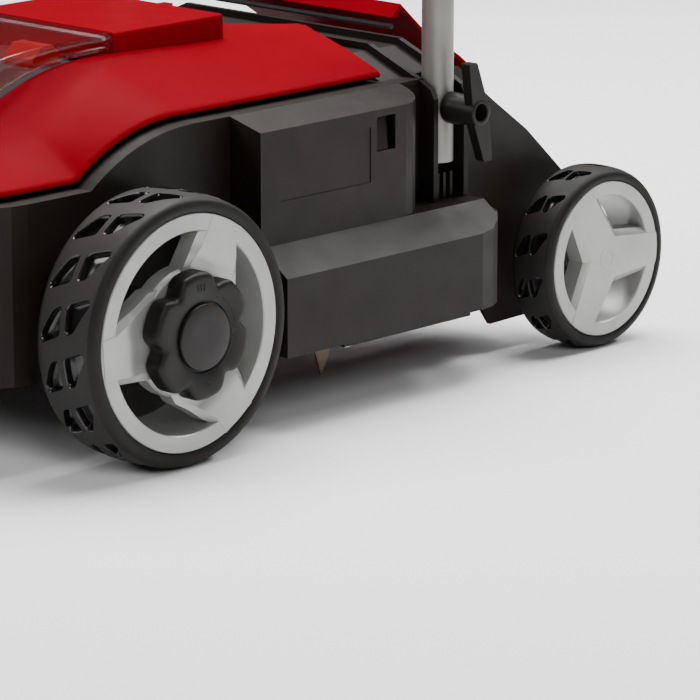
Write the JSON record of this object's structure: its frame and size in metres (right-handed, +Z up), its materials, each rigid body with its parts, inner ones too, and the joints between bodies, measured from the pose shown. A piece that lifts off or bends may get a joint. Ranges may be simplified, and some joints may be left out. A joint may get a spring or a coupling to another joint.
{
  "type": "lawn scarifier",
  "caption": "Walk-behind cordless lawn scarifier with a red hood, black deck, four wheels, side depth knobs, blade roller and folding tube handle.",
  "frame": {"origin": "centre of the machine's box on the ground plane", "axes": "-Y is the direction of travel, +X the machine's left side, +Z up"},
  "size_m": [0.5264, 1.0237, 1.0485],
  "materials": {
    "deck_black": "fine-grained matte black moulding",
    "hood_red": "satin deep red moulding",
    "lid_clear": "clear smoked plastic",
    "battery_black": "matte black",
    "latch_red": "red",
    "steel": "zinc plated",
    "belt_rubber": "matte",
    "tyre": "matte tread with glossy pockets",
    "rim_grey": "satin light grey",
    "knob_black": "satin black",
    "tube_silver": "satin silver lacquer",
    "grip_foam": "soft foam",
    "board_green": "lacquered board"
  },
  "bodies": {
    "chassis": {"deck": "deck_black", "hood": "hood_red", "battery_bay": "deck_black", "battery_left": "battery_black", "battery_right": "battery_black", "lid_pin": "steel", "motor_housing": "battery_black", "drive_belt": "belt_rubber", "roller_bearing_left": "steel", "roller_bearing_right": "steel", "belt_cover": "deck_black", "belt_cover_screw_1": "steel", "belt_cover_screw_2": "steel", "control_board": "board_green", "hood_post_left": "deck_black", "hood_post_right": "deck_black", "left_rear_axle": "steel", "right_rear_axle": "steel", "flap_rod": "steel", "left_lower_tube": "tube_silver", "right_lower_tube": "tube_silver", "left_foot_bolt": "steel", "right_foot_bolt": "steel", "left_fold_bolt": "steel", "right_fold_bolt": "steel"},
    "battery_lid": {"battery_lid": "lid_clear"},
    "battery_latch_left": {"battery_latch_left": "latch_red"},
    "battery_latch_right": {"battery_latch_right": "latch_red"},
    "motor_rotor": {"motor_shaft": "steel", "motor_pulley": "knob_black", "motor_core": "steel"},
    "blade_roller": {"roller_shaft": "steel", "blade_set": "steel", "roller_pulley": "knob_black"},
    "rear_flap": {"rear_flap": "hood_red"},
    "upper_handle": {"upper_handle": "tube_silver", "left_grip": "grip_foam", "right_grip": "grip_foam", "switch_box": "deck_black"},
    "bail_lever": {"bail_lever": "knob_black"},
    "lock_button": {"lock_button": "latch_red"},
    "left_crank": {"left_crank": "steel"},
    "left_front_wheel": {"left_front_rim": "rim_grey", "left_front_tyre": "tyre"},
    "left_rear_wheel": {"left_rear_rim": "rim_grey", "left_rear_tyre": "tyre"},
    "left_depth_knob": {"left_depth_knob": "knob_black", "left_knob_cap": "knob_black"},
    "left_foot_wing_nut": {"left_foot_wing_nut": "knob_black"},
    "left_fold_wing_nut": {"left_fold_wing_nut": "knob_black"},
    "right_crank": {"right_crank": "steel"},
    "right_front_wheel": {"right_front_rim": "rim_grey", "right_front_tyre": "tyre"},
    "right_rear_wheel": {"right_rear_rim": "rim_grey", "right_rear_tyre": "tyre"},
    "right_depth_knob": {"right_depth_knob": "knob_black", "right_knob_cap": "knob_black"},
    "right_foot_wing_nut": {"right_foot_wing_nut": "knob_black"},
    "right_fold_wing_nut": {"right_fold_wing_nut": "knob_black"}
  },
  "joints": [
    {"name": "battery_lid_hinge", "type": "hinge", "parent": "chassis", "child": "battery_lid", "pos_m": [0, -0.28035, 0.2825], "axis": [-1, 0, 0], "range_deg": [0, 95]},
    {"name": "battery_latch_left_press", "type": "slide", "parent": "chassis", "child": "battery_latch_left", "axis": [0, 1, 0], "range_m": [0, 0.003], "stiffness_N_per_m": 400, "springref_m": -0.002},
    {"name": "battery_latch_right_press", "type": "slide", "parent": "chassis", "child": "battery_latch_right", "axis": [0, 1, 0], "range_m": [0, 0.003], "stiffness_N_per_m": 400, "springref_m": -0.002},
    {"name": "roller_spin", "type": "hinge", "parent": "chassis", "child": "blade_roller", "pos_m": [0, -0.12685, 0.085], "axis": [1, 0, 0], "continuous": true},
    {"name": "motor_spin", "type": "hinge", "parent": "chassis", "child": "motor_rotor", "pos_m": [0, -0.22685, 0.19], "axis": [1, 0, 0], "continuous": true},
    {"name": "flap_hinge", "type": "hinge", "parent": "chassis", "child": "rear_flap", "pos_m": [0, 0.00965, 0.261], "axis": [1, 0, 0], "range_deg": [0, 60], "stiffness_Nm_per_rad": 0.3, "springref_deg": -34.38},
    {"name": "handle_fold", "type": "hinge", "parent": "chassis", "child": "upper_handle", "pos_m": [0, 0.193, 0.64], "axis": [1, 0, 0], "range_deg": [0, 150]},
    {"name": "bail_squeeze", "type": "hinge", "parent": "upper_handle", "child": "bail_lever", "pos_m": [0, 0.46739, 1.018], "axis": [1, 0, 0], "range_deg": [0, 18], "stiffness_Nm_per_rad": 0.8, "springref_deg": -17.19},
    {"name": "lock_button_press", "type": "slide", "parent": "upper_handle", "child": "lock_button", "axis": [0, 0, -1], "range_m": [0, 0.004], "stiffness_N_per_m": 400, "springref_m": -0.002},
    {"name": "left_depth_turn", "type": "hinge", "parent": "chassis", "child": "left_crank", "pos_m": [0.173, -0.36265, 0.1105], "axis": [-1, 0, 0], "range_deg": [0, 150]},
    {"name": "left_front_wheel_spin", "type": "hinge", "parent": "left_crank", "child": "left_front_wheel", "pos_m": [0.19, -0.36185, 0.1], "axis": [1, 0, 0], "continuous": true},
    {"name": "left_knob_pull", "type": "slide", "parent": "left_crank", "child": "left_depth_knob", "axis": [1, 0, 0], "range_m": [0, 0.006], "stiffness_N_per_m": 600, "springref_m": -0.003},
    {"name": "left_rear_wheel_spin", "type": "hinge", "parent": "chassis", "child": "left_rear_wheel", "pos_m": [0.188, 0.12015, 0.0727], "axis": [1, 0, 0], "continuous": true},
    {"name": "left_foot_nut_turn", "type": "hinge", "parent": "chassis", "child": "left_foot_wing_nut", "pos_m": [0.19, -0.02185, 0.2095], "axis": [1, 0, 0], "continuous": true},
    {"name": "left_fold_nut_turn", "type": "hinge", "parent": "chassis", "child": "left_fold_wing_nut", "pos_m": [0.19, 0.193, 0.64], "axis": [1, 0, 0], "continuous": true},
    {"name": "right_depth_turn", "type": "hinge", "parent": "chassis", "child": "right_crank", "pos_m": [-0.173, -0.36265, 0.1105], "axis": [-1, 0, 0], "range_deg": [0, 150]},
    {"name": "right_front_wheel_spin", "type": "hinge", "parent": "right_crank", "child": "right_front_wheel", "pos_m": [-0.19, -0.36185, 0.1], "axis": [1, 0, 0], "continuous": true},
    {"name": "right_knob_pull", "type": "slide", "parent": "right_crank", "child": "right_depth_knob", "axis": [-1, 0, 0], "range_m": [0, 0.006], "stiffness_N_per_m": 600, "springref_m": -0.003},
    {"name": "right_rear_wheel_spin", "type": "hinge", "parent": "chassis", "child": "right_rear_wheel", "pos_m": [-0.188, 0.12015, 0.0727], "axis": [1, 0, 0], "continuous": true},
    {"name": "right_foot_nut_turn", "type": "hinge", "parent": "chassis", "child": "right_foot_wing_nut", "pos_m": [-0.19, -0.02185, 0.2095], "axis": [-1, 0, 0], "continuous": true},
    {"name": "right_fold_nut_turn", "type": "hinge", "parent": "chassis", "child": "right_fold_wing_nut", "pos_m": [-0.19, 0.193, 0.64], "axis": [-1, 0, 0], "continuous": true}
  ],
  "couplings": [
    {"joint": "motor_spin", "follows": "roller_spin", "ratio": 2.2}
  ]
}
